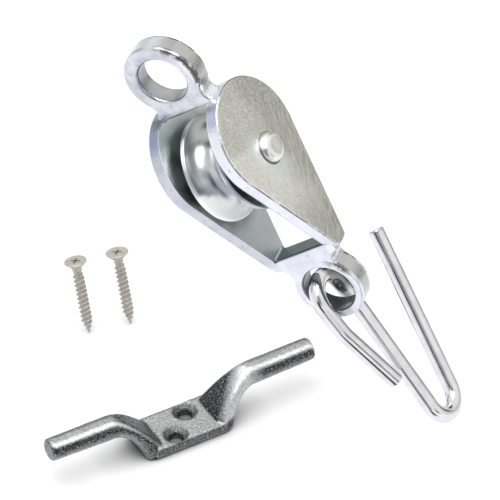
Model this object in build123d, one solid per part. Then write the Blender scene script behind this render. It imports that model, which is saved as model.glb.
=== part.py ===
"""Hanging kit for a ceiling pulley: a pulley block with its wire hook, a rope cleat and two screws.

Sizes are in millimetres. The origin is the centre of the hole in the top eye. +Z is up and +Y runs
along that hole, away from the front of the block. The block is modelled upright about its axle and
then leans about +Y, as it is pulled aside by its rope. The cleat and the screws stand on the floor below.
"""

import os
from math import cos, radians, sin, sqrt

from build123d import *

# axle and sheave
pin_radius = 3.0
rivet_radius = 4.4
rivet_height = 2.5
rivet_rounding = 2.1
press_clearance = 0.01
running_clearance = 0.05
side_clearance = 0.3
sheave_radius = 16.0
sheave_width = 13.5
rim_land = 1.6
groove_depth = 5.4
hub_radius = 6.2
rim_rounding = 0.5

# cheeks of the frame, each a teardrop plate
inner_gap = 18.3
cheek_thickness = 4.1
cheek_radius = 17.3
cheek_centre_z = 5.5
cheek_end_z = -35.8
cheek_end_half_width = 3.1
cheek_end_rounding = 1.5
cheek_edge_rounding = 0.7

# top eye and the bridge that carries it
eye_centre_z = 33.5
eye_hole_radius = 7.3
eye_outer_radius = 11.8
eye_thickness = 6.5
eye_neck_radius = 3.2
eye_neck_half_width = 9.26
eye_neck_end_angle = 70.0
upper_bridge_z = 21.3

# lower ring and its bridge
ring_centre_z = -47.5
ring_hole_radius = 7.75
ring_outer_radius = 10.4
ring_thickness = 6.7
ring_neck_radius = 3.4
ring_neck_half_width = 8.2
ring_neck_end_angle = 90.0
lower_bridge_z = -33.1

# casting details shared by both bridges
bridge_corner_radius = 2.0
leg_depth = 4.0
leg_inset = 0.5
eye_rounding = 1.0
ring_rounding = 0.6
bridge_rounding = 0.9
tiny = 0.001

# wire hook: a closed loop round the lower ring, a V bend and a long open leg
wire_radius = 2.4
hook_plane_x = -3.5
loop_front_clearance = 0.35
loop_back_clearance = 0.85
loop_top_z = -45.2
loop_side_gap = 0.06
short_leg_end_y = -1.2
short_leg_end_z = -84.2
short_leg_bend_z = -61.0
middle_leg_bend_z = -61.5
bend_foot_y = 0.1
bend_foot_z = -145.4
long_leg_end_y = 33.3
long_leg_end_z = -54.2
leg_bend_radius = 14.0
v_bend_radius = 6.4
wire_end_rounding = 0.5

# cleat
cleat_length = 89.2
cleat_foot_length = 24.2
cleat_foot_width = 15.0
cleat_foot_thickness = 3.9
cleat_foot_rounding = 0.6
cleat_horn_height = 13.0
cleat_horn_rise = 0.4
cleat_root_diameter = 7.3
cleat_tip_diameter = 6.9
cleat_neck_length = 11.0
cleat_neck_inner_reach = 3.3
cleat_neck_sink = 0.5
cleat_neck_inner_pull = 5.0
cleat_neck_inner_drop = 2.0
cleat_neck_nose = 2.7
cleat_neck_nose_height = 0.3
cleat_neck_outer_pull = 5.9
cleat_neck_inset = 0.1
cleat_neck_narrowing = 1.6
cleat_neck_steps = 4
neck_corner_share = 0.4
round_share = 0.49
cleat_tip_rounding = 1.0
cleat_hole_offset_x = 3.65
cleat_hole_offset_y = 3.7
cleat_hole_radius = 2.1
cleat_sink_radius = 3.9

# wood screws
screw_length = 25.0
screw_head_radius = 3.45
screw_head_rim = 0.35
screw_core_radius = 1.2
screw_thread_radius = 1.75
screw_pitch = 1.5
screw_point_length = 4.6
screw_point_start = 0.6
thread_root_share = 0.72
thread_crest_share = 0.12
screw_thread_top = 21.6
screw_neck_radius = 1.45
recess_arm = 1.9
recess_width = 0.85
recess_depth = 1.7
recess_taper = 6.0

# how the set is laid out
block_lean = -38.31
floor_z = -163.5
cleat_place = (-6.3, 26.4)
cleat_turn = 49.9
screw_left_tip = (-46.9, 57.7)
screw_right_tip = (-36.6, 65.6)
screw_lean_back = -9.9
screw_lean_side = -13.4

# sizes that follow from the ones above
half_gap = inner_gap / 2
half_width = half_gap + cheek_thickness
hub_half_length = half_gap - side_clearance


def ring_bridge(centre, outer, hole, thickness, neck, neck_half, end_angle, bridge):
    """One end of the frame: a ring on a necked bridge with two legs that run into the cheeks.

    Distances are measured outwards from the axle, so that the same shape serves both ends.
    """
    arc_x = neck_half + neck
    arc_out = centre - sqrt((outer + neck) ** 2 - arc_x**2)
    share = outer / (outer + neck)
    touch = (arc_x * share, centre - (centre - arc_out) * share)
    turn = radians(end_angle)
    waist = (neck_half, arc_out)
    shoulder = (arc_x - neck * cos(turn), arc_out - neck * sin(turn))
    leg_out = bridge - leg_depth
    leg_x = half_gap + leg_inset
    corner_out = bridge - bridge_corner_radius
    corner_x = leg_x - bridge_corner_radius
    slant = bridge_corner_radius * cos(radians(45))
    corner_mid = (corner_x + slant, corner_out + slant)

    def other(point):
        """The same point on the other side of the ring."""
        return (-point[0], point[1])

    with BuildPart() as made:
        with BuildSketch(Plane.XZ):
            with BuildLine():
                ThreePointArc(touch, (0, centre + outer), other(touch))
                for side in (lambda p: p, other):
                    ThreePointArc(side(touch), side(waist), side(shoulder))
                    Line(side(shoulder), side((shoulder[0], leg_out)))
                    Line(side((shoulder[0], leg_out)), side((leg_x, leg_out)))
                    Line(side((leg_x, leg_out)), side((leg_x, corner_out)))
                    ThreePointArc(side((leg_x, corner_out)), side(corner_mid), side((corner_x, bridge)))
                Line((corner_x, bridge), other((corner_x, bridge)))
            make_face()
            with Locations((0, centre)):
                Circle(hole, mode=Mode.SUBTRACT)
        extrude(amount=thickness / 2, both=True)
    return made.part


def flat_edges(body, thickness, low, high):
    """The edges that lie on the front or back face of one bridge, between two heights."""

    def lies_flat(edge):
        places = [edge @ 0, edge @ 0.5, edge @ 1]
        level = all(abs(abs(place.Y) - thickness / 2) < tiny for place in places)
        return level and low < places[1].Z < high

    return body.edges().filter_by(lies_flat)


def round_rims(body, thickness, low, high, ring_rounding, edge_rounding):
    """Rounds the ring and neck of one bridge, then the edge of the bridge that faces the sheave."""
    limit = bridge_corner_radius + tiny
    rims = flat_edges(body, thickness, low, high).filter_by(GeomType.CIRCLE)
    body = fillet(rims.filter_by(lambda edge: edge.radius > limit), ring_rounding)
    edges = flat_edges(body, thickness, low, high)
    corners = edges.filter_by(GeomType.CIRCLE).filter_by(lambda edge: edge.radius < limit)
    spans = edges.filter_by(Axis.X).filter_by(lambda edge: edge.length > half_gap)
    return fillet(corners + spans, edge_rounding)


def cheek(side):
    """One teardrop side plate, on the side of the axle that the sign names."""
    end_y = cheek_end_half_width - cheek_end_rounding
    end_z = cheek_end_z + cheek_end_rounding
    with BuildPart() as made:
        with BuildSketch(Plane.YZ.offset(side * half_gap)):
            with Locations((0, cheek_centre_z)):
                Circle(cheek_radius)
            with Locations((-end_y, end_z), (end_y, end_z)):
                Circle(cheek_end_rounding)
            make_hull()
        extrude(amount=side * cheek_thickness)
        outer = made.faces().filter_by(Axis.X).sort_by(Axis.X)[-1 if side > 0 else 0]
        fillet(outer.edges(), cheek_edge_rounding)
    return made.part


def pulley_frame():
    """The casting: eye, two cheeks and lower ring in one piece, bored for the pin."""
    upper = ring_bridge(
        eye_centre_z,
        eye_outer_radius,
        eye_hole_radius,
        eye_thickness,
        eye_neck_radius,
        eye_neck_half_width,
        eye_neck_end_angle,
        upper_bridge_z,
    )
    lower = ring_bridge(
        -ring_centre_z,
        ring_outer_radius,
        ring_hole_radius,
        ring_thickness,
        ring_neck_radius,
        ring_neck_half_width,
        ring_neck_end_angle,
        -lower_bridge_z,
    )
    body = upper + lower.mirror(Plane.XY) + cheek(1) + cheek(-1)
    top = eye_centre_z + eye_outer_radius + tiny
    bottom = ring_centre_z - ring_outer_radius - tiny
    reach = bridge_corner_radius
    body = round_rims(body, eye_thickness, upper_bridge_z - reach, top, eye_rounding, bridge_rounding)
    body = round_rims(body, ring_thickness, bottom, lower_bridge_z + reach, ring_rounding, bridge_rounding)
    bore = Rot(0, 90, 0) * Cylinder(pin_radius + press_clearance, 2 * half_width)
    return body - bore


def turned(points, arcs=()):
    """A body of revolution about the axle from points given as (along the axle, radius)."""
    with BuildPart() as made:
        with BuildSketch(Plane.XY):
            with BuildLine():
                Polyline(*points, close=True)
            make_face()
            for cut in arcs:
                with Locations((cut[0], cut[1])):
                    Circle(cut[2], mode=Mode.SUBTRACT)
        revolve(axis=Axis.X)
    return made.part


def axle_pin():
    """Plain pin with both ends riveted into low round heads."""
    end = half_width + rivet_height
    points = [
        (-end, 0),
        (-end, rivet_radius),
        (-half_width, rivet_radius),
        (-half_width, pin_radius),
        (half_width, pin_radius),
        (half_width, rivet_radius),
        (end, rivet_radius),
        (end, 0),
    ]
    pin = turned(points)
    heads = pin.edges().filter_by(GeomType.CIRCLE).group_by(Axis.X)
    return fillet(heads[0] + heads[-1], rivet_rounding)


def sheave():
    """Grooved wheel with a long hub that nearly fills the gap between the cheeks."""
    half_rim = sheave_width / 2
    bore = pin_radius + running_clearance
    mouth = half_rim - rim_land
    groove_radius = (mouth**2 + groove_depth**2) / (2 * groove_depth)
    groove_centre = sheave_radius - groove_depth + groove_radius
    points = [
        (-hub_half_length, bore),
        (-hub_half_length, hub_radius),
        (-half_rim, hub_radius),
        (-half_rim, sheave_radius),
        (half_rim, sheave_radius),
        (half_rim, hub_radius),
        (hub_half_length, hub_radius),
        (hub_half_length, bore),
    ]
    wheel = turned(points, [(0, groove_centre, groove_radius)])
    rim = wheel.edges().filter_by(GeomType.CIRCLE).filter_by(lambda e: e.radius > sheave_radius - rim_rounding)
    return fillet(rim, rim_rounding)


def wire_hook():
    """Round wire bent in one plane: short leg, loop through the ring, middle leg, V bend, long leg."""
    front_y = -(ring_thickness / 2 + loop_front_clearance + wire_radius)
    back_y = ring_thickness / 2 + loop_back_clearance + wire_radius
    loop_radius = (back_y - front_y) / 2 - loop_side_gap
    points = [
        (short_leg_end_y, short_leg_end_z),
        (front_y, short_leg_bend_z),
        (front_y, loop_top_z),
        (back_y, loop_top_z),
        (back_y, middle_leg_bend_z),
        (bend_foot_y, bend_foot_z),
        (long_leg_end_y, long_leg_end_z),
    ]
    bends = [leg_bend_radius, loop_radius, loop_radius, leg_bend_radius, v_bend_radius]
    plane = Plane.YZ.offset(hook_plane_x)
    with BuildPart() as made:
        with BuildLine(plane):
            path = FilletPolyline(*points, radius=bends)
        with BuildSketch(Plane(origin=path @ 0, z_dir=path % 0)):
            Circle(wire_radius)
        sweep(path=path)
        ends = made.faces().filter_by(GeomType.PLANE)
        fillet(ends.edges(), wire_end_rounding)
    return made.part


def bow(start, pull, end, share):
    """A point on the curve that leaves start towards pull and comes in to end from it."""
    back = 1 - share
    return back * back * start + 2 * back * share * pull + share * share * end


def horn():
    """One half of the cleat: the neck that narrows and climbs in a bow from the foot, and the round horn."""
    foot_end = cleat_foot_length / 2
    root_x = foot_end + cleat_neck_length
    half_root = cleat_root_diameter / 2
    top = cleat_horn_height + half_root
    under = cleat_horn_height - half_root
    # the neck's upper line and its steeper outer line, in the plane of the cleat's length and height
    inner_start = Vector(foot_end - cleat_neck_inner_reach, 0, cleat_foot_thickness - cleat_neck_sink)
    inner_pull = Vector(root_x - cleat_neck_inner_pull, 0, top - cleat_neck_inner_drop)
    outer_start = Vector(foot_end + cleat_neck_nose, 0, cleat_neck_nose_height)
    outer_pull = Vector(root_x - cleat_neck_outer_pull, 0, under)
    foot_width = cleat_foot_width - 2 * cleat_neck_inset
    neck = []
    for step in range(cleat_neck_steps + 1):
        share = step / cleat_neck_steps
        inner = bow(inner_start, inner_pull, Vector(root_x, 0, top), share)
        outer = bow(outer_start, outer_pull, Vector(root_x, 0, under), share)
        across = inner - outer
        wide = cleat_root_diameter + (foot_width - cleat_root_diameter) * (1 - share) ** cleat_neck_narrowing
        rounding = across.length * (neck_corner_share + (round_share - neck_corner_share) * share)
        heading = Vector(across.Z, 0, -across.X)
        plane = Plane(origin=(inner + outer) * 0.5, x_dir=(0, 1, 0), z_dir=heading)
        neck.append(plane * RectangleRounded(wide, across.length, rounding))
    body = loft(neck)
    root = Plane(origin=(root_x, 0, cleat_horn_height), x_dir=(0, 1, 0), z_dir=(1, 0, 0))
    tip_height = cleat_horn_height + cleat_horn_rise
    end = Plane(origin=(cleat_length / 2, 0, tip_height), x_dir=(0, 1, 0), z_dir=(1, 0, 0))
    bar_shape = [
        root * RectangleRounded(cleat_root_diameter, cleat_root_diameter, cleat_root_diameter * round_share),
        end * RectangleRounded(cleat_tip_diameter, cleat_tip_diameter, cleat_tip_diameter * round_share),
    ]
    bar = loft(bar_shape)
    tip_face = bar.faces().sort_by(Axis.X)[-1]
    bar = fillet(tip_face.edges(), cleat_tip_rounding)
    return body + bar


def cleat():
    """Flat foot with two countersunk holes on a diagonal and a horn at each end."""
    foot = Pos(0, 0, cleat_foot_thickness / 2) * Box(cleat_foot_length, cleat_foot_width, cleat_foot_thickness)
    foot = fillet(foot.edges().filter_by(Axis.X), cleat_foot_rounding)
    right = horn()
    body = foot + right + right.mirror(Plane.YZ)
    sink_depth = cleat_sink_radius - cleat_hole_radius
    for sign in (-1, 1):
        spot = Pos(sign * cleat_hole_offset_x, sign * cleat_hole_offset_y, 0)
        drill = Pos(0, 0, cleat_foot_thickness / 2) * Cylinder(cleat_hole_radius, 2 * cleat_foot_thickness)
        cone_place = Pos(0, 0, cleat_foot_thickness - sink_depth / 2)
        cone = cone_place * Cone(cleat_hole_radius, cleat_sink_radius, sink_depth)
        body = body - spot * drill - spot * cone
    return body


def screw():
    """Countersunk cross-recess wood screw, standing on its point, with a ridge at each turn of its thread."""
    top = screw_length
    sink = screw_head_radius - screw_neck_radius
    head_low = top - screw_head_rim - sink
    half_root = screw_pitch * thread_root_share / 2
    half_crest = screw_pitch * thread_crest_share / 2
    turns = int((screw_thread_top - screw_point_start) / screw_pitch)
    outline = [(0, 0)]
    for turn in range(turns):
        crest_z = screw_point_start + (turn + 1 / 2) * screw_pitch
        taper = min(1, crest_z / screw_point_length)
        valley = screw_core_radius * taper
        crest = screw_thread_radius * taper
        outline.append((valley, crest_z - half_root))
        outline.append((crest, crest_z - half_crest))
        outline.append((crest, crest_z + half_crest))
        outline.append((valley, crest_z + half_root))
    outline.append((screw_neck_radius, screw_thread_top))
    outline.append((screw_neck_radius, head_low))
    outline.append((screw_head_radius, top - screw_head_rim))
    outline.append((screw_head_radius, top))
    outline.append((0, top))
    with BuildPart() as made:
        with BuildSketch(Plane.XZ):
            with BuildLine():
                Polyline(*outline, close=True)
            make_face()
        revolve(axis=Axis.Z)
        with BuildSketch(Plane.XY.offset(top)):
            Rectangle(2 * recess_arm, recess_width)
            Rectangle(recess_width, 2 * recess_arm)
        extrude(amount=-recess_depth, taper=recess_taper, mode=Mode.SUBTRACT)
    return made.part


lean = Rot(0, block_lean, 0) * Pos(0, 0, -eye_centre_z)
cleat_spot = Pos(cleat_place[0], cleat_place[1], floor_z) * Rot(0, 0, cleat_turn)
screw_turn = Rot(screw_lean_back, screw_lean_side, 0)
nodes = {
    "pulley_frame": lean * pulley_frame(),
    "axle_pin": lean * axle_pin(),
    "sheave": lean * sheave(),
    "wire_hook": lean * wire_hook(),
    "cleat": cleat_spot * cleat(),
    "screw_left": Pos(screw_left_tip[0], screw_left_tip[1], floor_z) * screw_turn * screw(),
    "screw_right": Pos(screw_right_tip[0], screw_right_tip[1], floor_z) * screw_turn * screw(),
}

os.makedirs("parts", exist_ok=True)
for name, solid in nodes.items():
    export_step(solid, f"parts/{name}.step")
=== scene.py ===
"""Ceiling pulley set: a cast block with its wheel and wire hook, a rope cleat and two wood screws.

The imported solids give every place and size. The block, the wheel, the pin and the hook keep
their solids and get their finishes here. The cleat and the screws are modelled again, with the
rough skin of the casting and a real thread.
"""

import logging
import math
from dataclasses import dataclass
from enum import Enum
from typing import Any, TypeAlias

import bmesh
import bpy
from mathutils import Matrix, Vector

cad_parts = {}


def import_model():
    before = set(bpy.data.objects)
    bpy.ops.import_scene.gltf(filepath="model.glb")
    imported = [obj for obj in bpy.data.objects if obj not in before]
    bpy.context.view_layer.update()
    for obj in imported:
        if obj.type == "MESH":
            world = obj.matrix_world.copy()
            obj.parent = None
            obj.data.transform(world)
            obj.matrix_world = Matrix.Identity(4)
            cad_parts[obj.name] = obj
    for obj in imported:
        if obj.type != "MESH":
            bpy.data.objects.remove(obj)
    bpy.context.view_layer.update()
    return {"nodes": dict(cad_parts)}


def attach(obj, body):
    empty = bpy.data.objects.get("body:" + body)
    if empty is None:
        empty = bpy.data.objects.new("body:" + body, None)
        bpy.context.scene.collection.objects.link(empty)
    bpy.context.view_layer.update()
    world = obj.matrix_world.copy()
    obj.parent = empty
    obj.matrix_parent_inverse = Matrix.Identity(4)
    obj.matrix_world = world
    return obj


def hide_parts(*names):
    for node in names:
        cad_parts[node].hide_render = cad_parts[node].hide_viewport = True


LOG = logging.getLogger("pulley_set")

Colour = tuple[float, float, float]
Point = tuple[float, float, float]
Span = tuple[float, ...]
Weights = tuple[float, ...]
Stops = tuple[tuple[float, Colour], ...]
Sockets = dict[Any, Any]
Socket = bpy.types.NodeSocket
Material = bpy.types.Material
Piece = bpy.types.Object
Number: TypeAlias = "Value | float"

MM = 0.001
TINY = 1e-6
UPRIGHT = (0.0, math.radians(38.31), 0.0)
AXLE_DROP = 33.5 * MM
RING_DROP = 81.0 * MM
FLOOR_Z = -163.5 * MM
CLEAT_CENTRE = (-6.3 * MM, 26.4 * MM)
CLEAT_TURN = math.radians(49.9)
NOISE_MIDDLE = 0.5

# Colour of the painted light on the block.
LIT = (0.92, 0.95, 1.0)
# Dark colour of the block's random streaks, and of its painted shade and painted dark reflections.
SOOT_AND_SHADE = (0.10, 0.085, 0.07)
WHITE = (1.0, 1.0, 1.0)


def span(*lengths: float) -> Span:
    """Lengths that are given in millimetres."""
    return tuple(length * MM for length in lengths)


def clamp(value: float) -> float:
    """A number kept between 0 and 1."""
    return min(1.0, max(0.0, value))


class Skin(Enum):
    """Angle in degrees from which an edge stays visible."""

    SMOOTH = 60.0
    CRISP = 28.0


@dataclass(frozen=True)
class Noise:
    """One layer of cloudy noise: features per metre, finer layers on top and their weight."""

    scale: float
    detail: float = 2.0
    weight: float = 0.5

    def sockets(self) -> Sockets:
        """Its numbers by the names of the node's inputs."""
        return {"Scale": self.scale, "Detail": self.detail, "Roughness": self.weight}


@dataclass(frozen=True)
class Wash:
    """A colour laid over another one, how strongly, and the zone of a number where it lies."""

    colour: Colour
    strength: float
    zone: Span


class Value:
    """A number in a shader, which adds a Math node for each operator."""

    def __init__(self, graph: "Graph", socket: Socket) -> None:
        """Wraps one output socket."""
        self.graph = graph
        self.socket = socket

    def maths(self, operation: str, *inputs: Number) -> "Value":
        """Adds one Math node with these inputs."""
        return self.graph.value("ShaderNodeMath", dict(enumerate(inputs)), operation=operation)

    def __add__(self, other: Number) -> "Value":
        """Sum."""
        return self.maths("ADD", self, other)

    def __radd__(self, other: float) -> "Value":
        """Sum with a plain number in front."""
        return self.maths("ADD", other, self)

    def __sub__(self, other: Number) -> "Value":
        """Difference."""
        return self.maths("SUBTRACT", self, other)

    def __rsub__(self, other: float) -> "Value":
        """Difference from a plain number."""
        return self.maths("SUBTRACT", other, self)

    def __mul__(self, other: Number) -> "Value":
        """Product."""
        return self.maths("MULTIPLY", self, other)

    def __rmul__(self, other: float) -> "Value":
        """Product with a plain number in front."""
        return self.maths("MULTIPLY", other, self)

    def __abs__(self) -> "Value":
        """Size without its sign."""
        return self.maths("ABSOLUTE", self)

    def most(self, other: Number) -> "Value":
        """The larger of the two."""
        return self.maths("MAXIMUM", self, other)

    def length_with(self, other: "Value") -> "Value":
        """Length of the slope across this number and another."""
        return self.maths("SQRT", self * self + other * other)

    def step(self, low: float, high: float, *fall: float) -> "Value":
        """Goes softly from 0 to 1, upwards or downwards.

        Args:
            low: Where it leaves 0.
            high: Where it reaches 1, which may be the smaller number.
            fall: Where it leaves 1 and reaches 0 again, if it does.

        Returns:
            The softened step.
        """
        sockets = {"Value": self, "From Min": low, "From Max": high}
        risen = self.graph.value("ShaderNodeMapRange", sockets, interpolation_type="SMOOTHSTEP")
        return risen * (1 - self.step(*fall)) if fall else risen

    def blend(self, first: Number, second: Number) -> "Value":
        """A number between two others, with this one as the share of the second."""
        return (1 - self) * first + self * second


def weighted(weights: Weights, *layers: Number) -> Number:
    """The first weight plus each layer times its own weight."""
    return sum((weight * layer for weight, layer in zip(weights[1:], layers)), weights[0])


class Graph:
    """The node tree of one material or of the world."""

    MIX_SHARE, MIX_FIRST, MIX_SECOND, MIX_RESULT = 0, 6, 7, 2

    def __init__(self, tree: bpy.types.NodeTree) -> None:
        """Takes a node tree and empties it."""
        self.tree = tree
        tree.nodes.clear()

    def node(self, kind: str, sockets: Sockets, **settings: Any) -> bpy.types.Node:
        """Adds a node, sets it, and fills or links its sockets.

        Args:
            kind: The node's type.
            sockets: Plain values, Values, or output sockets, by input name or number.
            settings: Its own settings.

        Returns:
            The node.
        """
        made = self.tree.nodes.new(kind)
        for name, value in settings.items():
            setattr(made, name, value)
        for name, value in sockets.items():
            target = made.inputs[name]
            if isinstance(value, Value):
                value = value.socket
            if isinstance(value, Socket):
                self.tree.links.new(value, target)
            elif target.type == "RGBA":
                target.default_value = (*value, 1.0)
            else:
                target.default_value = value
        return made

    def out(self, kind: str, sockets: Sockets, slot: int | str = 0, **settings: Any) -> Socket:
        """Adds a node and gives one of its outputs."""
        return self.node(kind, sockets, **settings).outputs[slot]

    def value(self, kind: str, sockets: Sockets, slot: int | str = 0, **settings: Any) -> Value:
        """Adds a node and gives one of its outputs as a number."""
        return Value(self, self.out(kind, sockets, slot, **settings))

    def place(self, turn: Point = (0, 0, 0), shift: Point = (0, 0, 0)) -> Socket:
        """Object coordinates, turned about X, Y and Z and then shifted."""
        start = {"Vector": self.out("ShaderNodeTexCoord", {}, "Object")}
        return self.out("ShaderNodeMapping", start | {"Rotation": turn, "Location": shift})

    def stretched(self, vector: Socket, turn: Point, stretch: Point) -> Socket:
        """A vector turned first and stretched along its new axes."""
        turned = self.out("ShaderNodeMapping", {"Vector": vector, "Rotation": turn})
        return self.out("ShaderNodeVectorMath", {0: turned, 1: stretch}, operation="MULTIPLY")

    def facing(self, direction: Socket, aim: Point) -> Value:
        """The cosine of the angle between a direction and an aim."""
        sockets = {0: direction, 1: tuple(Vector(aim).normalized())}
        return self.value("ShaderNodeVectorMath", sockets, "Value", operation="DOT_PRODUCT")

    def split(self, vector: Socket) -> tuple[Value, Value, Value]:
        """The three numbers of a vector."""
        made = self.node("ShaderNodeSeparateXYZ", {0: vector})
        return tuple(Value(self, made.outputs[i]) for i in range(3))

    def noise(self, vector: Socket, layer: Noise) -> Value:
        """Cloudy noise from 0 to 1."""
        return self.value("ShaderNodeTexNoise", {"Vector": vector} | layer.sockets())

    def bands(self, along: Value, layer: Noise) -> Value:
        """Noise along one number only."""
        sockets = {"W": along} | layer.sockets()
        return self.value("ShaderNodeTexNoise", sockets, noise_dimensions="1D")

    def attribute(self, name: str) -> Value:
        """A number that the mesh carries at each of its points."""
        return self.value("ShaderNodeAttribute", {}, "Fac", attribute_name=name)

    def ray(self, kind: str) -> Value:
        """1 for a ray of one kind, such as Camera, and 0 for others."""
        return self.value("ShaderNodeLightPath", {}, f"Is {kind} Ray")

    def ramp(self, value: Value, stops: Stops) -> Socket:
        """A colour for each size of a number.

        Args:
            value: The number.
            stops: Some sizes with their colours.

        Returns:
            The colour socket.
        """
        made = self.node("ShaderNodeValToRGB", {0: value})
        elements = made.color_ramp.elements
        while len(elements) < len(stops):
            elements.new(0.5)
        for element, (place, colour) in zip(elements, stops):
            element.position = place
            element.color = (*colour, 1.0)
        return made.outputs[0]

    def mix(self, share: Value, first: Any, second: Any) -> Socket:
        """A colour between two colours or sockets, with the share of the second."""
        sockets = {self.MIX_SHARE: share, self.MIX_FIRST: first, self.MIX_SECOND: second}
        return self.out("ShaderNodeMix", sockets, self.MIX_RESULT, data_type="RGBA")

    def wash(self, base: Socket, along: Value, wash: Wash, share: Number = 1.0) -> Socket:
        """Lays a wash over a colour where a number is in its zone, with a share of its strength."""
        return self.mix(along.step(*wash.zone) * wash.strength * share, base, wash.colour)

    def bump(self, height: Value, distance: float) -> Socket:
        """A normal that follows a height, of which 1 measures the distance."""
        return self.out("ShaderNodeBump", {"Height": height, "Distance": distance})

    def metal(self, colour: Socket, rough: Value, normal: Socket, metallic: Number = 1.0) -> None:
        """Ends the tree in a metal surface, with metallic as the share of bare metal."""
        sockets = {"Base Color": colour, "Roughness": rough, "Normal": normal, "Metallic": metallic}
        self.node("ShaderNodeOutputMaterial", {0: self.out("ShaderNodeBsdfPrincipled", sockets)})

    def mix_shader(self, share: Value, first: Socket, second: Socket) -> Socket:
        """A surface between two surfaces, with the share of the second."""
        return self.out("ShaderNodeMixShader", {0: share, 1: first, 2: second})


@dataclass(frozen=True)
class Finish:
    """A node material, which each kind of surface paints in its own way."""

    name: str

    def material(self) -> Material:
        """Makes the material and paints it.

        Returns:
            The material.
        """
        material = bpy.data.materials.new(self.name)
        material.use_nodes = True
        self.paint(Graph(material.node_tree))
        return material

    def paint(self, g: Graph) -> None:
        """Fills the material's graph."""
        raise NotImplementedError


@dataclass(frozen=True)
class Ring:
    """One of the block's two rings: its sizes, the share of painted shade in its hole and where
    painted dark reflections lie on its rim.
    """

    drop: float
    rim: float
    hole: float
    hole_shade: float
    dark_reflection: Span
    dark_reflection_up: Span


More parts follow.
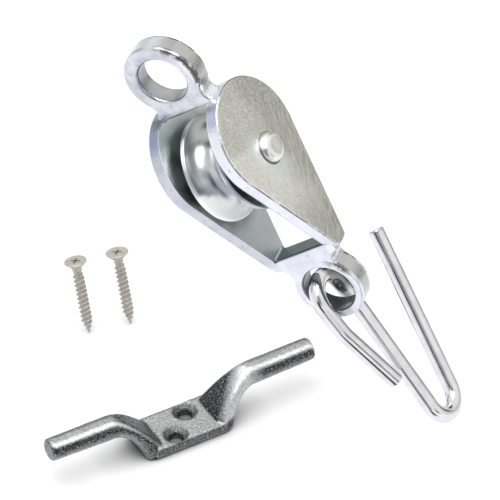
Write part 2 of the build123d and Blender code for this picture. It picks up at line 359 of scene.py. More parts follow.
@dataclass(frozen=True)
class CastSkin:
    """Colours of the plated casting, with painted light and shade on its sides, its inside and its
    rings, and painted dark reflections at its rims.
    """

    plain: Stops = ((0.32, (0.50, 0.515, 0.57)), (0.58, (0.77, 0.78, 0.81)))
    # Painted shade on the far cheek's edges and painted light on the near cheek's edges.
    far: Wash = Wash((0.50, 0.515, 0.57), 0.5, span(-8.75, -9.55))
    near: Wash = Wash(LIT, 0.7, span(8.75, 9.55))
    # Painted bluish shade where the eye's neck meets the far cheek.
    neck: Wash = Wash((0.42, 0.47, 0.62), 0.6, span(-21, -14, -11, -8))
    neck_side: Span = span(-5, -12)
    # Painted light on the block's lowest part.
    foot: Wash = Wash(LIT, 0.5, span(-64, -69))
    gap_side: Span = span(9.65, 9.2)
    gap_height: Span = span(-67.0, -66.4, -12.4, -11.8)
    # Painted light and shade on the inner faces between the cheeks: paler above the axle, darker
    # below.
    inside: Colour = (0.92, 1.0, 1.0)
    inside_low: Colour = (0.60, 0.645, 0.66)
    inside_fade: Span = span(-20, 4)
    inside_share: float = 0.9
    # Painted shade on the inner faces close round the wheel, in patches.
    wheel_nook_shade: Wash = Wash((0.06, 0.08, 0.085), 1.0, span(21.5, 16.2))
    wheel_nook_cloud: Span = (0.35, 0.6)
    wheel_nook_share: Span = (0.6, 0.4)
    # Painted shade on the top of the lower bridge, between the cheeks.
    shelf_shade: Wash = Wash((0.12, 0.16, 0.175), 0.95, span(-67.2, -66.8, -66.4, -66.0))
    rings: tuple[Ring, ...] = (
        Ring(0.0, 11.8 * MM, 7.3 * MM, 0.45, (0.40, 0.58), span(-1000, -500)),
        Ring(RING_DROP, 10.4 * MM, 7.75 * MM, 0.8, (0.30, 0.55), span(1, 5)),
    )
    # Painted shade on the wall of each ring's hole.
    bore_shade: Wash = Wash((0.10, 0.115, 0.12), 1.0, span(0.5, 0.15))
    corner: Span = span(1.9, 2.4)
    right_side: Span = span(3, 9)
    right_up: Span = span(-8, -5)
    # Painted light and painted shade on the rims of the rings.
    rim_lit: Wash = Wash(LIT, 0.7, span(-1.0, -0.5, 0.2, 0.4))
    rim_shade: Wash = Wash((0.46, 0.455, 0.41), 0.75, span(-1.0, -0.5, 0.2, 0.4))
    # Painted dark reflections, in blotches, at the corners of the rings' rims.
    dark_reflection: Wash = Wash(SOOT_AND_SHADE, 0.88, span(-1.9, -1.1, 0.2, 0.4))
    blotches: Noise = Noise(430)
    # Painted shade in a broken dark line along the edges of the ground faces.
    outline: Wash = Wash(SOOT_AND_SHADE, 0.75, span(12.72, 12.92))
    outline_noise: Noise = Noise(260, 3)
    outline_span: Span = (0.38, 0.55)
    streaks: Wash = Wash(SOOT_AND_SHADE, 0.35, (0.6, 0.74))

    def inner_faces(self, g: Graph, local: Socket) -> Value:
        """1 where the skin lies between the two cheeks, 0 elsewhere."""
        x, _, z = g.split(local)
        return z.step(*self.gap_height) * abs(x).step(*self.gap_side)

    def colour(self, g: Graph, local: Socket, cloud: Value, drag: Value) -> Socket:
        """Lays all the washes over each other.

        Args:
            g: The material's graph.
            local: Place in the upright block.
            cloud: Broad noise.
            drag: Streaky noise.

        Returns:
            The colour socket.
        """
        x, y, z = g.split(local)
        # Painted shade on the far side and painted light on the near side.
        skin = g.wash(g.ramp(cloud, self.plain), x, self.far)
        skin = g.wash(skin, x, self.near)
        # Painted bluish shade at the neck on the far side.
        skin = g.wash(skin, z, self.neck, x.step(*self.neck_side))
        # Painted light on the lowest part.
        skin = g.wash(skin, z, self.foot)
        down = z + AXLE_DROP
        inner = self.inner_faces(g, local)
        # Painted light and shade on the inner faces.
        inside_light_and_shade = g.mix(down.step(*self.inside_fade), self.inside_low, self.inside)
        skin = g.mix(inner * self.inside_share, skin, inside_light_and_shade)
        # Painted shade in patches close round the wheel.
        patchy = cloud.step(*self.wheel_nook_cloud).blend(*self.wheel_nook_share)
        skin = g.wash(skin, y.length_with(down), self.wheel_nook_shade, inner * patchy)
        # Painted shade on the lower bridge's top.
        skin = g.wash(skin, z, self.shelf_shade, abs(x).step(*self.gap_side))
        for ring in self.rings:
            skin = self.with_ring(g, local, ring, skin)
        # Painted shade in a broken dark line at the edges of the ground faces.
        broken = g.noise(local, self.outline_noise).step(*self.outline_span)
        skin = g.wash(skin, abs(x), self.outline, broken)
        return g.wash(skin, drag, self.streaks)

    def with_ring(self, g: Graph, local: Socket, ring: Ring, skin: Socket) -> Socket:
        """Adds the painted shade in the hole of a ring, its painted lit and shaded rim and the
        painted dark reflections at its corners.

        Args:
            g: The material's graph.
            local: Place in the upright block.
            ring: The ring.
            skin: The colour so far.

        Returns:
            The colour socket.
        """
        x, y, z = g.split(local)
        up = z + ring.drop
        radius = x.length_with(up)
        outward = radius - ring.rim
        corner = abs(y).step(*self.corner)
        right = x.step(*self.right_side) * up.step(*self.right_up)
        # Painted shade in the hole.
        skin = g.wash(skin, radius - ring.hole, self.bore_shade, ring.hole_shade)
        # Painted light on the rim, and painted shade on its right.
        skin = g.wash(skin, outward, self.rim_lit, (1 - right) * (1 - corner))
        skin = g.wash(skin, outward, self.rim_shade, right * (1 - corner))
        # Painted dark reflections in blotches at the rim's corners on its right.
        dark_patches = g.noise(local, self.blotches).step(*ring.dark_reflection) * up.step(*ring.dark_reflection_up)
        return g.wash(skin, outward, self.dark_reflection, right * corner * dark_patches)


@dataclass(frozen=True)
class GroundFace:
    """Colours of the ground cheeks, paler at the front, with painted shade at the back, top and
    bottom, more scored at the back, and painted light and a painted shadow round the rivet.
    """

    pale: Stops = ((0.34, (0.78, 0.78, 0.73)), (0.64, (1.0, 1.0, 0.95)))
    # Colours under the painted shade at the back, top and bottom.
    shaded: Stops = ((0.34, (0.24, 0.24, 0.215)), (0.64, (0.64, 0.64, 0.58)))
    plain_lines: Weights = (0.0, 0.15, 0.85)
    scored_lines: Weights = (0.0, 0.8, 0.2)
    scored_top: Span = span(12, 2)
    back_span: Span = span(-6, 9)
    back_share: float = 0.72
    upper_tilt: float = 0.4
    upper_span: Span = span(1.0, 4.5)
    upper_share: float = 0.38
    lower_span: Span = span(-8, -30)
    lower_share: float = 0.78
    front_tilt: float = 0.5
    front_span: Span = span(3, -2)
    # Painted bluish light round the rivet, towards the front.
    rivet_light: Wash = Wash((0.93, 0.98, 1.0), 0.6, span(12.4, 4.4))
    # Painted shadow round the rivet's head, darker towards the front.
    rivet_shadow: Wash = Wash(SOOT_AND_SHADE, 1.0, span(5.2, 4.75))
    rivet_shadow_share: Span = (0.45, 0.85)

    def colour(self, g: Graph, local: Socket, fine: Value, grit: Value) -> Socket:
        """Paints shade on the face, and painted light and a painted shadow round the rivet.

        Args:
            g: The material's graph.
            local: Place in the upright block.
            fine: Noise drawn out along the grinding marks.
            grit: Noise of the grit.

        Returns:
            The colour socket.
        """
        _, y, z = g.split(local)
        up = z + AXLE_DROP
        back = y.step(*self.back_span)
        upper = (up + self.upper_tilt * y).step(*self.upper_span)
        lower = up.step(*self.lower_span)
        marked = back.most(lower) * up.step(*self.scored_top)
        plain = weighted(self.plain_lines, fine, grit)
        lines = marked.blend(plain, weighted(self.scored_lines, fine, grit))
        # Painted shade at the back, top and bottom of the face.
        dim = (self.back_share * back).most(self.upper_share * upper).most(self.lower_share * lower)
        face = g.mix(dim, g.ramp(lines, self.pale), g.ramp(lines, self.shaded))
        radius = y.length_with(up)
        front = (y + self.front_tilt * up).step(*self.front_span)
        # Painted light round the rivet.
        face = g.wash(face, radius, self.rivet_light, front)
        # Painted shadow round the rivet's head.
        return g.wash(face, radius, self.rivet_shadow, front.blend(*self.rivet_shadow_share))


@dataclass(frozen=True)
class BlockFinish(Finish):
    """Bright zinc on the cast block, with the two outer cheek faces ground flat."""

    name: str = "zinc_on_casting"
    skin: CastSkin = CastSkin()
    face: GroundFace = GroundFace()
    face_side: Span = span(13.02, 13.2)
    cloud: Noise = Noise(170, 3)
    drag: Noise = Noise(420, 4, 0.6)
    drag_stretch: Point = (1.0, 0.3, 1.0)
    fine: Noise = Noise(3000, 3)
    fine_stretch: Point = (1.0, 0.09, 1.0)
    grinding_turn: Point = (math.radians(-51.0), 0.0, 0.0)
    grit: Noise = Noise(1700, 3, 0.6)
    dimples: Noise = Noise(1000)
    cast_rough: Weights = (0.17, 0.2, 0.1)
    ground_rough: Weights = (0.32, 0.1, 0.1)
    cast_height: Weights = (0.0, 0.6, 0.6)
    ground_height: Weights = (0.0, 0.22, 0.22)
    relief: float = 0.10 * MM

    def paint(self, g: Graph) -> None:
        """Joins the cast skin and the ground faces."""
        local = g.place(UPRIGHT)
        x, _, _ = g.split(local)
        ground = abs(x).step(*self.face_side)
        cloud = g.noise(local, self.cloud)
        drag = g.noise(g.stretched(local, (0, 0, 0), self.drag_stretch), self.drag)
        fine = g.noise(g.stretched(local, self.grinding_turn, self.fine_stretch), self.fine)
        grit = g.noise(local, self.grit)
        skin = self.skin.colour(g, local, cloud, drag)
        face = self.face.colour(g, local, fine, grit)
        rough = weighted(self.cast_rough, cloud, self.skin.inner_faces(g, local))
        rough = ground.blend(rough, weighted(self.ground_rough, fine, grit))
        height = weighted(self.cast_height, g.noise(local, self.dimples), drag)
        height = ground.blend(height, weighted(self.ground_height, fine, grit))
        g.metal(g.mix(ground, skin, face), rough, g.bump(height, self.relief))


@dataclass(frozen=True)
class WheelFinish(Finish):
    """Bright zinc on the turned wheel, with faint rings from the lathe, painted shade on its top
    and across its middle, and a painted highlight on its low side.
    """

    name: str = "zinc_on_wheel"
    plain: Stops = ((0.3, (0.50, 0.55, 0.58)), (0.65, (0.76, 0.78, 0.79)))
    tone: Weights = (0.0, 0.6, 0.4)
    cloud: Noise = Noise(220, 3)
    lathe: Noise = Noise(2200, 3)
    lathe_slant: float = 0.6
    dents: Noise = Noise(900)
    # Painted shade on the top of the wheel, and across its middle.
    top_shade: Wash = Wash((0.40, 0.40, 0.37), 0.6, span(3, 9))
    shade: Wash = Wash((0.34, 0.365, 0.405), 0.85, span(-7, -3, 1, 4))
    # Painted highlight on the wheel's low side near the far flange: a white colour, with less bare
    # metal there.
    low_highlight: Colour = (1.0, 1.0, 0.99)
    low_highlight_share: float = 0.95
    low_highlight_matt: float = 0.9
    low_highlight_way: Weights = (0.0, -0.8, -0.6)
    low_highlight_break: float = 5 * MM
    low_highlight_span: Span = span(9.5, 12.5)
    low_highlight_side: Span = span(2.5, -1)
    rough: Weights = (0.19, 0.16, 0.08)
    height: Weights = (0.0, 0.5, 0.5)
    relief: float = 0.03 * MM

    def paint(self, g: Graph) -> None:
        """Paints the wheel by its place round the axle."""
        local = g.place(UPRIGHT, (0, 0, AXLE_DROP))
        x, y, z = g.split(local)
        rings = g.bands(y.length_with(z) + self.lathe_slant * x, self.lathe)
        cloud = g.noise(local, self.cloud)
        colour = g.ramp(weighted(self.tone, cloud, rings), self.plain)
        # Painted shade on the top and across the middle of the wheel.
        colour = g.wash(colour, z, self.top_shade)
        colour = g.wash(colour, z, self.shade)
        # Painted highlight on the low side: a white colour and less bare metal.
        low = weighted(self.low_highlight_way, y, z) + self.low_highlight_break * (cloud - NOISE_MIDDLE)
        highlighted = low.step(*self.low_highlight_span) * x.step(*self.low_highlight_side)
        colour = g.mix(highlighted * self.low_highlight_share, colour, self.low_highlight)
        height = weighted(self.height, rings, g.noise(local, self.dents))
        rough = weighted(self.rough, cloud, rings)
        g.metal(colour, rough, g.bump(height, self.relief), 1 - self.low_highlight_matt * highlighted)


@dataclass(frozen=True)
class PinFinish(Finish):
    """Bright zinc on the riveted pin, a little dented by the hammer."""

    name: str = "zinc_on_pin"
    plain: Stops = ((0.35, (0.80, 0.81, 0.80)), (0.6, (0.96, 0.96, 0.93)))
    dents: Noise = Noise(420)
    rough: Weights = (0.26, 0.12)
    relief: float = 0.16 * MM

    def paint(self, g: Graph) -> None:
        """Paints the dents."""
        dents = g.noise(g.place(UPRIGHT), self.dents)
        rough = weighted(self.rough, dents)
        g.metal(g.ramp(dents, self.plain), rough, g.bump(dents, self.relief))


@dataclass(frozen=True)
class WireFinish(Finish):
    """Bright zinc on drawn wire, with painted shade where its loop runs through the ring."""

    name: str = "zinc_on_wire"
    plain: Stops = ((0.3, (0.73, 0.725, 0.745)), (0.62, (0.84, 0.835, 0.85)))
    cloud: Noise = Noise(260, 3)
    grain: Noise = Noise(1500)
    # Painted shade on the loop where it runs through the ring's hole.
    hole_shade: Wash = Wash((0.16, 0.175, 0.17), 0.85, span(0.5, 3))
    hole_shade_reach: Span = span(8.0, 5.0)
    rough: Weights = (0.09, 0.08, 0.04)
    height: Weights = (0.0, 0.5, 0.5)
    relief: float = 0.02 * MM

    def paint(self, g: Graph) -> None:
        """Paints the wire and the painted shade on the part of its loop in the ring."""
        local = g.place(UPRIGHT)
        cloud = g.noise(local, self.cloud)
        grain = g.noise(local, self.grain)
        x, y, z = g.split(local)
        # Painted shade on the loop inside the ring.
        held = x.length_with(z + RING_DROP).step(*self.hole_shade_reach)
        colour = g.wash(g.ramp(cloud, self.plain), y, self.hole_shade, held)
        height = weighted(self.height, cloud, grain)
        g.metal(colour, weighted(self.rough, cloud, grain), g.bump(height, self.relief))


@dataclass(frozen=True)
class CleatFinish(Finish):
    """Coarse cast iron under zinc, with painted glints, and painted light and shade that the mesh
    carries as its own marks.
    """

    name: str = "zinc_on_rough_iron"
    # Name of the mesh's painted light and shade.
    attribute: str = "painted_light_and_shade"
    tones: Stops = (
        (0.08, (0.03, 0.034, 0.033)),
        (0.5, (0.42, 0.435, 0.425)),
        (0.92, (0.93, 0.94, 0.93)),
    )
    sand: Noise = Noise(1900, 3, 0.65)
    coarse: Noise = Noise(500)
    speckle: float = 0.9
    grains: Noise = Noise(2600)
    # Painted glints: pale specks laid by fine noise.
    glints: Wash = Wash((0.93, 0.94, 0.93), 0.45, (0.6, 0.68))
    rough: Weights = (0.28, 0.2)
    height: Weights = (0.0, 0.9, 0.4)
    relief: float = 0.3 * MM

    def paint(self, g: Graph) -> None:
        """Paints the sandy skin with the painted light and shade that the mesh carries."""
        local = g.place()
        sand = g.noise(local, self.sand)
        coarse = g.noise(local, self.coarse)
        tone = g.attribute(self.attribute) + self.speckle * (sand - NOISE_MIDDLE)
        # Painted glints over the tones.
        colour = g.wash(g.ramp(tone, self.tones), g.noise(local, self.grains), self.glints)
        height = weighted(self.height, sand, coarse)
        g.metal(colour, weighted(self.rough, coarse), g.bump(height, self.relief))


@dataclass(frozen=True)
class ScrewFinish(Finish):
    """Dull warm plating of the wood screws, with painted shade in the thread's root and the recess.
    """

    name: str = "dull_screw_plating"
    attribute: str = "hollow"
    plain: Stops = ((0.35, (0.48, 0.46, 0.415)), (0.62, (0.63, 0.605, 0.555)))
    # Colour of the painted shade in the thread's root and the recess.
    root: Colour = (0.22, 0.205, 0.175)
    root_share: float = 0.75
    cloud: Noise = Noise(700, 3)
    grain: Noise = Noise(3500)
    tone: Weights = (0.0, 0.6, 0.4)
    rough: Weights = (0.5, 0.16, 0.1)
    height: Weights = (0.0, 0.6, 0.4)
    relief: float = 0.04 * MM
    bare: float = 0.8

    def paint(self, g: Graph) -> None:
        """Paints the plating and its hollows."""
        local = g.place()
        cloud = g.noise(local, self.cloud)
        grain = g.noise(local, self.grain)
        hollow = g.attribute(self.attribute)
        colour = g.ramp(weighted(self.tone, cloud, grain), self.plain)
        # Painted shade in the thread's root and the recess.
        colour = g.mix(hollow * self.root_share, colour, self.root)
        height = weighted(self.height, grain, cloud)
        rough = weighted(self.rough, cloud, hollow)
        g.metal(colour, rough, g.bump(height, self.relief), self.bare)


class Bench:
    """Small mesh steps that the sub-assemblies share."""

    @staticmethod
    def clear() -> None:
        """Leaves nothing selected."""
        if bpy.context.mode != "OBJECT":
            Bench.done()
        bpy.ops.object.select_all(action="DESELECT")

    @staticmethod
    def take(piece: Piece) -> None:
        """Makes one piece the only selected one."""
        Bench.clear()
        piece.select_set(True)
        bpy.context.view_layer.objects.active = piece

    @staticmethod
    def open(piece: Piece) -> None:
        """Takes one piece into edit mode with all of it selected."""
        Bench.take(piece)
        bpy.ops.object.mode_set(mode="EDIT")
        bpy.ops.mesh.select_all(action="SELECT")

    @staticmethod
    def done() -> None:
        """Leaves edit mode."""
        bpy.ops.object.mode_set(mode="OBJECT")

    @staticmethod
    def add(name: str, data: bpy.types.ID) -> Piece:
        """Makes an object and links it to the scene.

        Args:
            name: Its name.
            data: Its mesh, lamp or camera.

        Returns:
            The object, at the origin.
        """
        piece = bpy.data.objects.new(name, data)
        bpy.context.scene.collection.objects.link(piece)
        return piece

    @staticmethod
    def apply(piece: Piece, kind: str, **settings: Any) -> None:
        """Adds one modifier and applies it.

        Args:
            piece: The object.
            kind: The modifier's type.
            settings: Its settings.
        """
        Bench.take(piece)
        modifier = piece.modifiers.new(kind.title(), kind)
        for name, value in settings.items():
            setattr(modifier, name, value)
        bpy.ops.object.modifier_apply(modifier=modifier.name)

    @staticmethod
    def close(piece: Piece, skin: Skin) -> None:
        """Merges doubles, turns the faces outwards and shades the piece.

        Args:
            piece: The object.
            skin: How sharp an edge stays visible.
        """
        Bench.open(piece)
        bpy.ops.mesh.remove_doubles(threshold=2 * TINY)
        bpy.ops.mesh.normals_make_consistent(inside=False)
        Bench.done()
        bpy.ops.object.shade_smooth_by_angle(angle=math.radians(skin.value))

    @staticmethod
    def dress(piece: Piece, material: Material) -> None:
        """Puts one finish on the whole piece."""
        if not piece.material_slots:
            piece.data.materials.append(material)
        for slot in piece.material_slots:
            slot.material = material


@dataclass
class Block:
    """The cast frame with its pin, wheel and wire hook, which keep their solids."""

    finishes: tuple[tuple[str, Finish], ...] = (
        ("pulley_frame", BlockFinish()),
        ("axle_pin", PinFinish()),
        ("sheave", WheelFinish()),
        ("wire_hook", WireFinish()),
    )

    def dress(self, nodes: dict[str, Piece]) -> None:
        """Gives each solid its finish.

        Args:
            nodes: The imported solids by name.
        """
        for name, finish in self.finishes:
            Bench.dress(nodes[name], finish.material())
            LOG.info("%s: dressed", name)


@dataclass
class Cleat:
    """The rope cleat, with the lumpy skin of a sand casting."""

    voxel: float = 0.25 * MM
    rounding: int = 9
    rounding_factor: float = 0.5
    roughness: tuple[tuple[str, float, float], ...] = (
        ("cleat_lumps", 3.2 * MM, 0.14 * MM),
        ("cleat_sand", 0.9 * MM, 0.1 * MM),
    )
    noise_level: float = 0.55
    # Painted light and shade: the light's direction, and a tone for each way of facing, with a
    # painted highlight band.
    light: Point = (-0.23, 0.63, 0.74)
    tones: tuple[Span, ...] = (
        (-1.0, 0.52), (-0.85, 0.46), (-0.62, 0.24), (-0.35, 0.08), (0.0, 0.08),
        (0.1, 0.5), (0.2, 0.9), (0.36, 0.86), (0.5, 0.4), (0.62, 0.34),
        (0.7, 0.52), (0.78, 0.52), (0.86, 0.28), (1.0, 0.22),
    )
    foot_half: float = 12.1 * MM
    foot_top: float = 3.9 * MM
    # Screw holes, which get painted shade.
    holes: tuple[Span, ...] = (span(3.65, 3.7), span(-3.65, -3.7))
    hole_reach: float = 4.1 * MM
    hole_top: float = 3.8 * MM
    hole_tone: float = 0.3
    slope_up: float = 0.2
    slope_face: float = 0.45
    slope_share: float = 0.3
    slope_weights: Weights = (0.2, 0.6, -0.5)
    slope_start: float = 0.35
    slope_fade: float = 0.4
    foot_side: float = 7.5 * MM
    neck_start: float = 11.1 * MM
    neck_length: float = 9.0 * MM
    neck_dark: float = 0.06
    neck_bright: float = 0.8
    flank_fade: float = 6.0 * MM
    flank_face: float = -2.0
    flank_tone: float = 0.62
    end_face: float = 0.8
    end_depth: float = 1.2 * MM
    end_tone: float = 0.3
    tone_rounds: int = 5
    finish: CleatFinish = CleatFinish()

    def build(self, node: Piece) -> None:
        """Models the piece from the solid and dresses it.

        Args:
            node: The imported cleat.
        """
        piece = Bench.add("rope_cleat", node.data.copy())
        piece.data.materials.clear()
        Bench.open(piece)
        bpy.ops.mesh.remove_doubles(threshold=TINY)
        Bench.done()
        Bench.apply(piece, "REMESH", mode="VOXEL", voxel_size=self.voxel)
        Bench.apply(piece, "SMOOTH", factor=self.rounding_factor, iterations=self.rounding)
        self.mark_painted_light(piece)
        for name, size, depth in self.roughness:
            self.roughen(piece, name, size, depth)
        self.settle(piece)
        Bench.close(piece, Skin.SMOOTH)
        Bench.dress(piece, self.finish.material())
        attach(piece, "block")
        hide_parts("cleat")
        LOG.info("%s: %d faces", piece.name, len(piece.data.polygons))

    def mark_painted_light(self, piece: Piece) -> None:
        """Writes painted light and shade at each point, by the way that it faces a light, with
        painted shade in the screw holes.

        Args:
            piece: The smooth shape, before it is roughened.
        """
        axis = Vector((math.cos(CLEAT_TURN), math.sin(CLEAT_TURN), 0.0))
        aside = Vector((-axis.y, axis.x, 0.0))
        light = Vector(self.light).normalized()
        middle = Vector((*CLEAT_CENTRE, FLOOR_Z))
        vertices = piece.data.vertices
        reach = max((vertex.co - middle).dot(axis) for vertex in vertices) - self.end_depth
        # Painted light and shade: a tone by how each point faces the light, one tone on the end
        # faces, painted shade in the screw holes and on the left neck's slope, painted light on the
        # right neck's slope, a middle tone on one flank of the right horn.
        tones = []
        for vertex in vertices:
            place = vertex.co - middle
            along, across = place.dot(axis), place.dot(aside)
            turned = abs(vertex.normal.dot(axis))
            tone = self.tone_at(vertex.normal.dot(light))
            if turned > self.end_face and abs(along) > reach:
                tone = self.end_tone
            elif self.in_hole(along, across, place.z):
                tone = min(tone, self.hole_tone)
            elif vertex.normal.z > self.slope_up and turned > self.slope_face:
                right = along > 0.0
                tone = self.slope_tone(along, across) if right else tone * self.slope_share
            elif along > self.neck_start and place.z > self.foot_top:
                front = clamp(self.flank_face * vertex.normal.dot(aside))
                end = self.foot_half + self.neck_length + self.flank_fade
                tone += (self.flank_tone - tone) * front * clamp((end - along) / self.flank_fade)
            tones.append(tone)
        layer = piece.data.attributes.new(self.finish.attribute, "FLOAT", "POINT")
        layer.data.foreach_set("value", self.softened(piece, tones))

    def slope_tone(self, along: float, across: float) -> float:
        """Painted light on the slope of the right neck, brighter towards its front and its top.

        Args:
            along: Place along the cleat, from its middle.
            across: Place across it.

        Returns:
            The brightness.
        """
        rise = (along - self.foot_half) / self.neck_length
        share = weighted(self.slope_weights, rise, across / self.foot_side)
        share = clamp((share - self.slope_start) / self.slope_fade)
        return self.neck_dark + (self.neck_bright - self.neck_dark) * share

    def softened(self, piece: Piece, tones: list[float]) -> list[float]:
        """Lets the tones run into each other across the edges of the shape.

        Args:
            piece: The shape.
            tones: One tone for each point.

        Returns:
            The softened tones.
        """
        pairs = [tuple(edge.vertices) for edge in piece.data.edges]
        for _ in range(self.tone_rounds):
            sums, counts = list(tones), [1] * len(tones)
            for one, other in pairs:
                sums[one] += tones[other]
                sums[other] += tones[one]
                counts[one] += 1
                counts[other] += 1
            tones = [total / count for total, count in zip(sums, counts)]
        return tones

    def in_hole(self, along: float, across: float, height: float) -> bool:
        """Tells whether a place along, across and above the foot lies inside a screw hole."""
        gaps = [math.dist((along, across), hole) for hole in self.holes]
        return height <= self.hole_top and min(gaps) < self.hole_reach

    def tone_at(self, facing: float) -> float:
        """Painted light and shade for one way of facing.

        Args:
            facing: 1 towards the top and back, -1 towards the bottom and front.

        Returns:
            The brightness.
        """
        for (start, dim), (end, lit) in zip(self.tones, self.tones[1:]):
            if start <= facing <= end:
                return dim + (lit - dim) * (facing - start) / (end - start)
        return self.tones[-1][1]

    def roughen(self, piece: Piece, name: str, size: float, depth: float) -> None:
        """Pushes the skin in and out by cloudy noise.

        Args:
            piece: The object.
            name: Name of the noise.
            size: Size of its lumps.
            depth: Full travel of the skin.
        """
        texture = bpy.data.textures.new(name, "CLOUDS")
        texture.noise_scale, texture.noise_depth = size, 1
        settings = {"texture": texture, "texture_coords": "LOCAL", "strength": depth}
        Bench.apply(piece, "DISPLACE", **settings, mid_level=self.noise_level)

    @staticmethod
    def settle(piece: Piece) -> None:
        """Keeps the underside flat on the floor."""
        for vertex in piece.data.vertices:
            vertex.co.z = max(vertex.co.z, FLOOR_Z)


@dataclass
class WoodScrew:
    """A countersunk wood screw with a cross recess and a real thread, standing on its point."""

    length: float = 25.0 * MM
    head_radius: float = 3.45 * MM
    head_rim: float = 0.35 * MM
    head_bevel: float = 0.12 * MM
    sink_middle: Span = (0.5, 0.52)
    core_radius: float = 1.2 * MM
    thread_radius: float = 1.75 * MM
    profile: tuple[Span, ...] = ((0, 0.31), (1, 0.18), (0, 0.04), (-1, 0.16), (0, 0.31))
    neck_radius: float = 1.45 * MM
    neck_step: float = 0.1 * MM
    pitch: float = 1.5 * MM
    point_length: float = 4.6 * MM
    point_curve: float = 0.85
    thread_top: float = 21.6 * MM
    fade: float = 2.0 * MM
    recess_arm: float = 1.9 * MM
    recess_width: float = 0.85 * MM
    recess_depth: float = 1.7 * MM
    recess_shrink: float = 0.62
    root_reach: float = 1.02
    root_mark: float = 0.3
    recess_reach: float = 0.9
    steps: int = 28
    lean_back: float = math.radians(-9.9)
    lean_side: float = math.radians(-13.4)
    finish: ScrewFinish = ScrewFinish()

    def build(self) -> Piece:
        """Models one screw on its point at the origin.

        Returns:
            The screw.
        """
        screw = self.thread()
        self.taper(screw)
        self.head(screw)
        self.recess(screw)
        self.mark_hollows(screw)
        Bench.close(screw, Skin.CRISP)
        Bench.dress(screw, self.finish.material())
        return screw

    def thread(self) -> Piece:
        """Winds one turn's outline up into a thread.

        Returns:
            An open, even thread along Z that starts one turn below the point.
        """
        Bench.clear()
        bpy.ops.mesh.primitive_plane_add(size=self.pitch, location=(0, 0, 0))
        screw = bpy.context.active_object
        screw.name = "wood_screw"
        Bench.open(screw)
        bpy.ops.mesh.select_mode(type="VERT")
        bpy.ops.mesh.merge(type="CENTER")
        bpy.ops.transform.translate(value=(self.core_radius, 0, 0))
        depth = self.thread_radius - self.core_radius
        for out, up in self.profile:
            move = {"value": (out * depth, 0, up * self.pitch)}
            bpy.ops.mesh.extrude_vertices_move(TRANSFORM_OT_translate=move)
        Bench.done()
        turns = math.ceil(self.thread_top / self.pitch) + 1
        settings = {"axis": "Z", "angle": math.tau, "screw_offset": self.pitch}
        settings |= {"iterations": turns, "steps": self.steps, "render_steps": self.steps}
        settings |= {"use_merge_vertices": True, "merge_threshold": TINY}
        Bench.apply(screw, "SCREW", **settings, use_smooth_shade=True)
        return screw

    def taper(self, screw: Piece) -> None:
        """Draws the thread in to a point below and to the bare core above.

        Args:
            screw: The open thread.
        """
        for vertex in screw.data.vertices:
            height = vertex.co.z - self.pitch
            radius = math.hypot(vertex.co.x, vertex.co.y)
            ridge = max(0.0, radius - self.core_radius)
            ridge *= clamp((self.thread_top - height) / self.fade)
            narrow = clamp(height / self.point_length) ** self.point_curve
            factor = (self.core_radius + ridge) * narrow / radius
            vertex.co.x *= factor
            vertex.co.y *= factor
            vertex.co.z = min(self.thread_top, max(0.0, height))
        Bench.open(screw)
        bpy.ops.mesh.remove_doubles(threshold=10 * TINY)
        bpy.ops.mesh.dissolve_degenerate(threshold=TINY)
        Bench.done()

    def head(self, screw: Piece) -> None:
        """Extrudes the neck and the countersunk head from the top of the thread.

        Args:
            screw: The tapered thread.
        """
        sink = self.head_radius - self.neck_radius
        rim_low = self.length - self.head_rim
        out, down = self.sink_middle
        rings = (
            (self.neck_radius, self.thread_top + self.neck_step),
            (self.neck_radius, rim_low - sink),
            (self.neck_radius + out * sink, rim_low - down * sink),
            (self.head_radius, rim_low),
            (self.head_radius, self.length - self.head_bevel),
            (self.head_radius - self.head_bevel, self.length),
        )
        Bench.open(screw)
        bpy.ops.mesh.select_mode(type="EDGE")
        edit = bmesh.from_edit_mesh(screw.data)
        top = self.thread_top - TINY
        for edge in edit.edges:
            edge.select = edge.is_boundary and all(v.co.z > top for v in edge.verts)
        bmesh.update_edit_mesh(screw.data)
        wide, high = self.core_radius, self.thread_top
        for radius, height in rings:
            move = {"value": (0, 0, height - high)}
            bpy.ops.mesh.extrude_region_move(TRANSFORM_OT_translate=move)
            grow = radius / wide
            bpy.ops.transform.resize(value=(grow, grow, 1), center_override=(0, 0, height))
            wide, high = radius, height
        bpy.ops.mesh.edge_face_add()
        Bench.done()

    def recess(self, screw: Piece) -> None:
        """Sinks the cross into the head.

        Args:
            screw: The screw with its head.
        """
        top = (0, 0, self.length)
        Bench.clear()
        bpy.ops.mesh.primitive_cube_add(size=1.0, location=top)
        cutter = bpy.context.active_object
        Bench.open(cutter)
        box = (2 * self.recess_arm, self.recess_width, 2 * self.recess_depth)
        bpy.ops.transform.resize(value=box)
        bpy.ops.mesh.select_all(action="DESELECT")
        edit = bmesh.from_edit_mesh(cutter.data)
        min(edit.faces, key=lambda face: face.normal.z).select_set(True)
        bmesh.update_edit_mesh(cutter.data)
        shrink = (self.recess_shrink, self.recess_shrink, 1)
        bpy.ops.transform.resize(value=shrink, center_override=top)
        Bench.done()
        for turn in (0.0, math.pi / 2):
            cutter.rotation_euler.z = turn
            bpy.context.view_layer.update()
            Bench.apply(screw, "BOOLEAN", operation="DIFFERENCE", object=cutter, solver="EXACT")
        bpy.data.objects.remove(cutter, do_unlink=True)

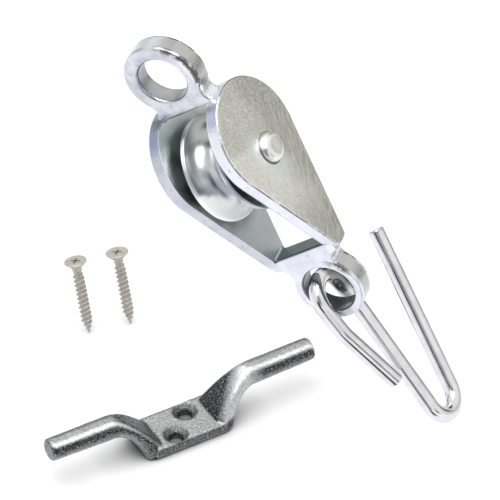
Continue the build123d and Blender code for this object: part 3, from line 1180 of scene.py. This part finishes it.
    def mark_hollows(self, screw: Piece) -> None:
        """Writes how deep each point sits, in the thread's root or in the recess, which sets the
        painted shade there.

        Args:
            screw: The finished shape.
        """
        layer = screw.data.attributes.new(self.finish.attribute, "FLOAT", "POINT")
        bottom, rim_low = self.length - 2 * self.recess_depth, self.length - self.head_rim
        for vertex, mark in zip(screw.data.vertices, layer.data):
            height, radius = vertex.co.z, math.hypot(vertex.co.x, vertex.co.y) / self.core_radius
            in_thread = height < self.thread_top and radius < self.root_reach
            in_recess = bottom < height < rim_low and radius < self.recess_reach
            mark.value = 1.0 if in_recess else self.root_mark * in_thread

    def stand(self, screw: Piece, name: str, node: str, tip: Span) -> None:
        """Copies the screw to its place.

        Args:
            screw: The screw at the origin.
            name: The copy's name.
            node: The solid that it stands for.
            tip: Where its point touches the floor.
        """
        piece = Bench.add(name, screw.data.copy())
        turn = Matrix.Rotation(self.lean_back, 4, "X") @ Matrix.Rotation(self.lean_side, 4, "Y")
        piece.data.transform(Matrix.Translation((*tip, FLOOR_Z)) @ turn)
        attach(piece, "block")
        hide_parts(node)
        LOG.info("%s: %d faces", name, len(piece.data.polygons))


@dataclass(frozen=True)
class FloorFinish(Finish):
    """Pale floor that shows white and keeps its shadows, with a dark flag that only metal sees."""

    name: str = "pale_floor"
    colour: Colour = (0.93, 0.93, 0.93)
    in_metal: Colour = (0.84, 0.84, 0.93)
    glow: float = 0.5
    nook_reach: float = 13 * MM
    nook_span: Span = (0.9, 0.2)
    nook_samples: int = 12
    nook_shade: Colour = (0.24, 0.24, 0.24)
    foot_along: Span = span(11.6, 11.1)
    foot_across: Span = span(7.0, 6.5)
    flag_colour: Colour = (0.06, 0.06, 0.06)
    flag_place: float = 0.13
    flag_width: Span = span(50, 30)
    flag_depth: Span = (-0.05, -0.08)

    def paint(self, g: Graph) -> None:
        """Joins the floor, the flag and the shade in its nooks and under the cleat's foot."""
        glossy = g.ray("Glossy")
        seen = g.ray("Camera").most(glossy).most(g.ray("Transmission"))
        matt = g.out("ShaderNodeBsdfDiffuse", {"Color": self.colour})
        tint = g.mix(glossy, WHITE, self.in_metal)
        white = g.out("ShaderNodeEmission", {"Color": tint})
        shader = g.mix_shader(seen * self.glow, matt, white)
        x, y, _ = g.split(g.place())
        flag = abs(x - self.flag_place).step(*self.flag_width) * y.step(*self.flag_depth)
        black = g.out("ShaderNodeEmission", {"Color": self.flag_colour})
        shader = g.mix_shader(flag * glossy, shader, black)
        reach = {"Distance": self.nook_reach}
        nook = g.value("ShaderNodeAmbientOcclusion", reach, "AO", samples=self.nook_samples)
        back = Matrix.Rotation(-CLEAT_TURN, 3, "Z") @ Vector((*CLEAT_CENTRE, 0.0))
        along, across, _ = g.split(g.place((0, 0, -CLEAT_TURN), tuple(-back)))
        under_foot = abs(along).step(*self.foot_along) * abs(across).step(*self.foot_across)
        closed = nook.step(*self.nook_span).most(under_foot)
        dim = g.out("ShaderNodeBsdfDiffuse", {"Color": self.nook_shade})
        g.node("ShaderNodeOutputMaterial", {0: g.mix_shader(closed, shader, dim)})


@dataclass(frozen=True)
class Card:
    """A round card in the room that shows in metal: its direction, two angles and its colour."""

    aim: Point
    angles: Span
    colour: Colour


@dataclass
class Studio:
    """Pale floor, soft light and the camera."""

    toward: Point = (0.2522, -0.6980, 0.6697)
    target: Point = (24.74 * MM, 1.24 * MM, -60.02 * MM)
    distance: float = 2.5
    view_width: float = 142.86 * MM
    clip_end: float = 20.0
    floor_radius: float = 0.62
    floor_sides: int = 96
    floor_finish: FloorFinish = FloorFinish()
    wall: Colour = (0.95, 0.95, 0.96)
    back_wall: Colour = (0.73, 0.73, 0.685)
    back_start: Span = (0.05, 0.6)
    back_top: Span = (0.55, 0.2)
    cards: tuple[Card, ...] = (
        Card((0.2522, -0.6980, 0.6697), (10, 24), (0.30, 0.30, 0.31)),
        Card((-0.01, -0.965, 0.26), (11, 19), (0.03, 0.03, 0.03)),
        Card((0.23, -0.96, -0.10), (11, 19), (0.03, 0.03, 0.03)),
        Card((0.90, -0.42, -0.06), (9, 18), (0.30, 0.30, 0.30)),
        Card((0.56, 0.828, 0.0), (7, 11), (0.02, 0.02, 0.02)),
        Card((0.02, 0.96, 0.28), (9, 18), (0.04, 0.04, 0.04)),
        Card((-0.42, 0.90, -0.05), (9, 18), (0.10, 0.10, 0.10)),
        Card((-0.95, -0.10, 0.28), (10, 20), (0.46, 0.50, 0.66)),
        Card((-0.92, 0.38, 0.02), (8, 16), (0.20, 0.20, 0.20)),
    )
    lamp_place: Point = (-0.10, -0.15, 0.85)
    lamp_aim: Point = (0.02, 0.0, -0.06)
    lamp_size: Span = (0.8, 0.6)
    lamp_energy: float = 7.0

    def build(self) -> None:
        """Sets up everything around the object."""
        self.floor()
        self.world()
        self.lamps()
        self.camera()

    def floor(self) -> None:
        """Lays the floor."""
        Bench.clear()
        settings = {"vertices": self.floor_sides, "radius": self.floor_radius, "fill_type": "NGON"}
        bpy.ops.mesh.primitive_circle_add(**settings, location=(0, 0, FLOOR_Z))
        floor = bpy.context.active_object
        floor.name = "floor"
        Bench.dress(floor, self.floor_finish.material())

    def world(self) -> None:
        """White to the camera, and a soft room with a grey back wall to metal."""
        world = bpy.data.worlds.new("soft_room")
        world.use_nodes = True
        bpy.context.scene.world = world
        g = Graph(world.node_tree)
        direction = g.out("ShaderNodeTexCoord", {}, "Generated")
        _, y, z = g.split(direction)
        back = y.step(*self.back_start) * z.step(*self.back_top)
        room = g.mix(back, self.wall, self.back_wall)
        for card in self.cards:
            inner, outer = (math.cos(math.radians(angle)) for angle in card.angles)
            room = g.mix(g.facing(direction, card.aim).step(outer, inner), room, card.colour)
        colour = g.mix(g.ray("Camera").most(g.ray("Transmission")), room, WHITE)
        shader = g.out("ShaderNodeBackground", {"Color": colour})
        g.node("ShaderNodeOutputWorld", {0: shader})

    def lamps(self) -> None:
        """Hangs one broad lamp high above."""
        lamp = bpy.data.lights.new("soft_key", "AREA")
        lamp.shape = "RECTANGLE"
        lamp.size, lamp.size_y = self.lamp_size
        lamp.energy = self.lamp_energy
        key = Bench.add("soft_key", lamp)
        key.location = self.lamp_place
        aim = Vector(self.lamp_aim) - key.location
        key.rotation_euler = aim.to_track_quat("-Z", "Y").to_euler()

    def camera(self) -> None:
        """Puts a long lens at the angle of the picture."""
        data = bpy.data.cameras.new("camera")
        data.lens = data.sensor_width * self.distance / self.view_width
        data.clip_end = self.clip_end
        camera = Bench.add("camera", data)
        toward = Vector(self.toward).normalized()
        camera.location = Vector(self.target) + toward * self.distance
        camera.rotation_euler = (-toward).to_track_quat("-Z", "Y").to_euler()
        bpy.context.scene.camera = camera


def main() -> None:
    """Builds and dresses the set."""
    logging.basicConfig(level=logging.INFO, format="%(name)s: %(message)s")
    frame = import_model()
    bpy.context.scene.view_settings.view_transform = "Standard"
    Block().dress(frame["nodes"])
    Cleat().build(frame["nodes"]["cleat"])
    maker = WoodScrew()
    pattern = maker.build()
    maker.stand(pattern, "wood_screw_left", "screw_left", span(-46.9, 57.7))
    maker.stand(pattern, "wood_screw_right", "screw_right", span(-36.6, 65.6))
    bpy.data.objects.remove(pattern, do_unlink=True)
    Studio().build()


if __name__ == "__main__":
    main()
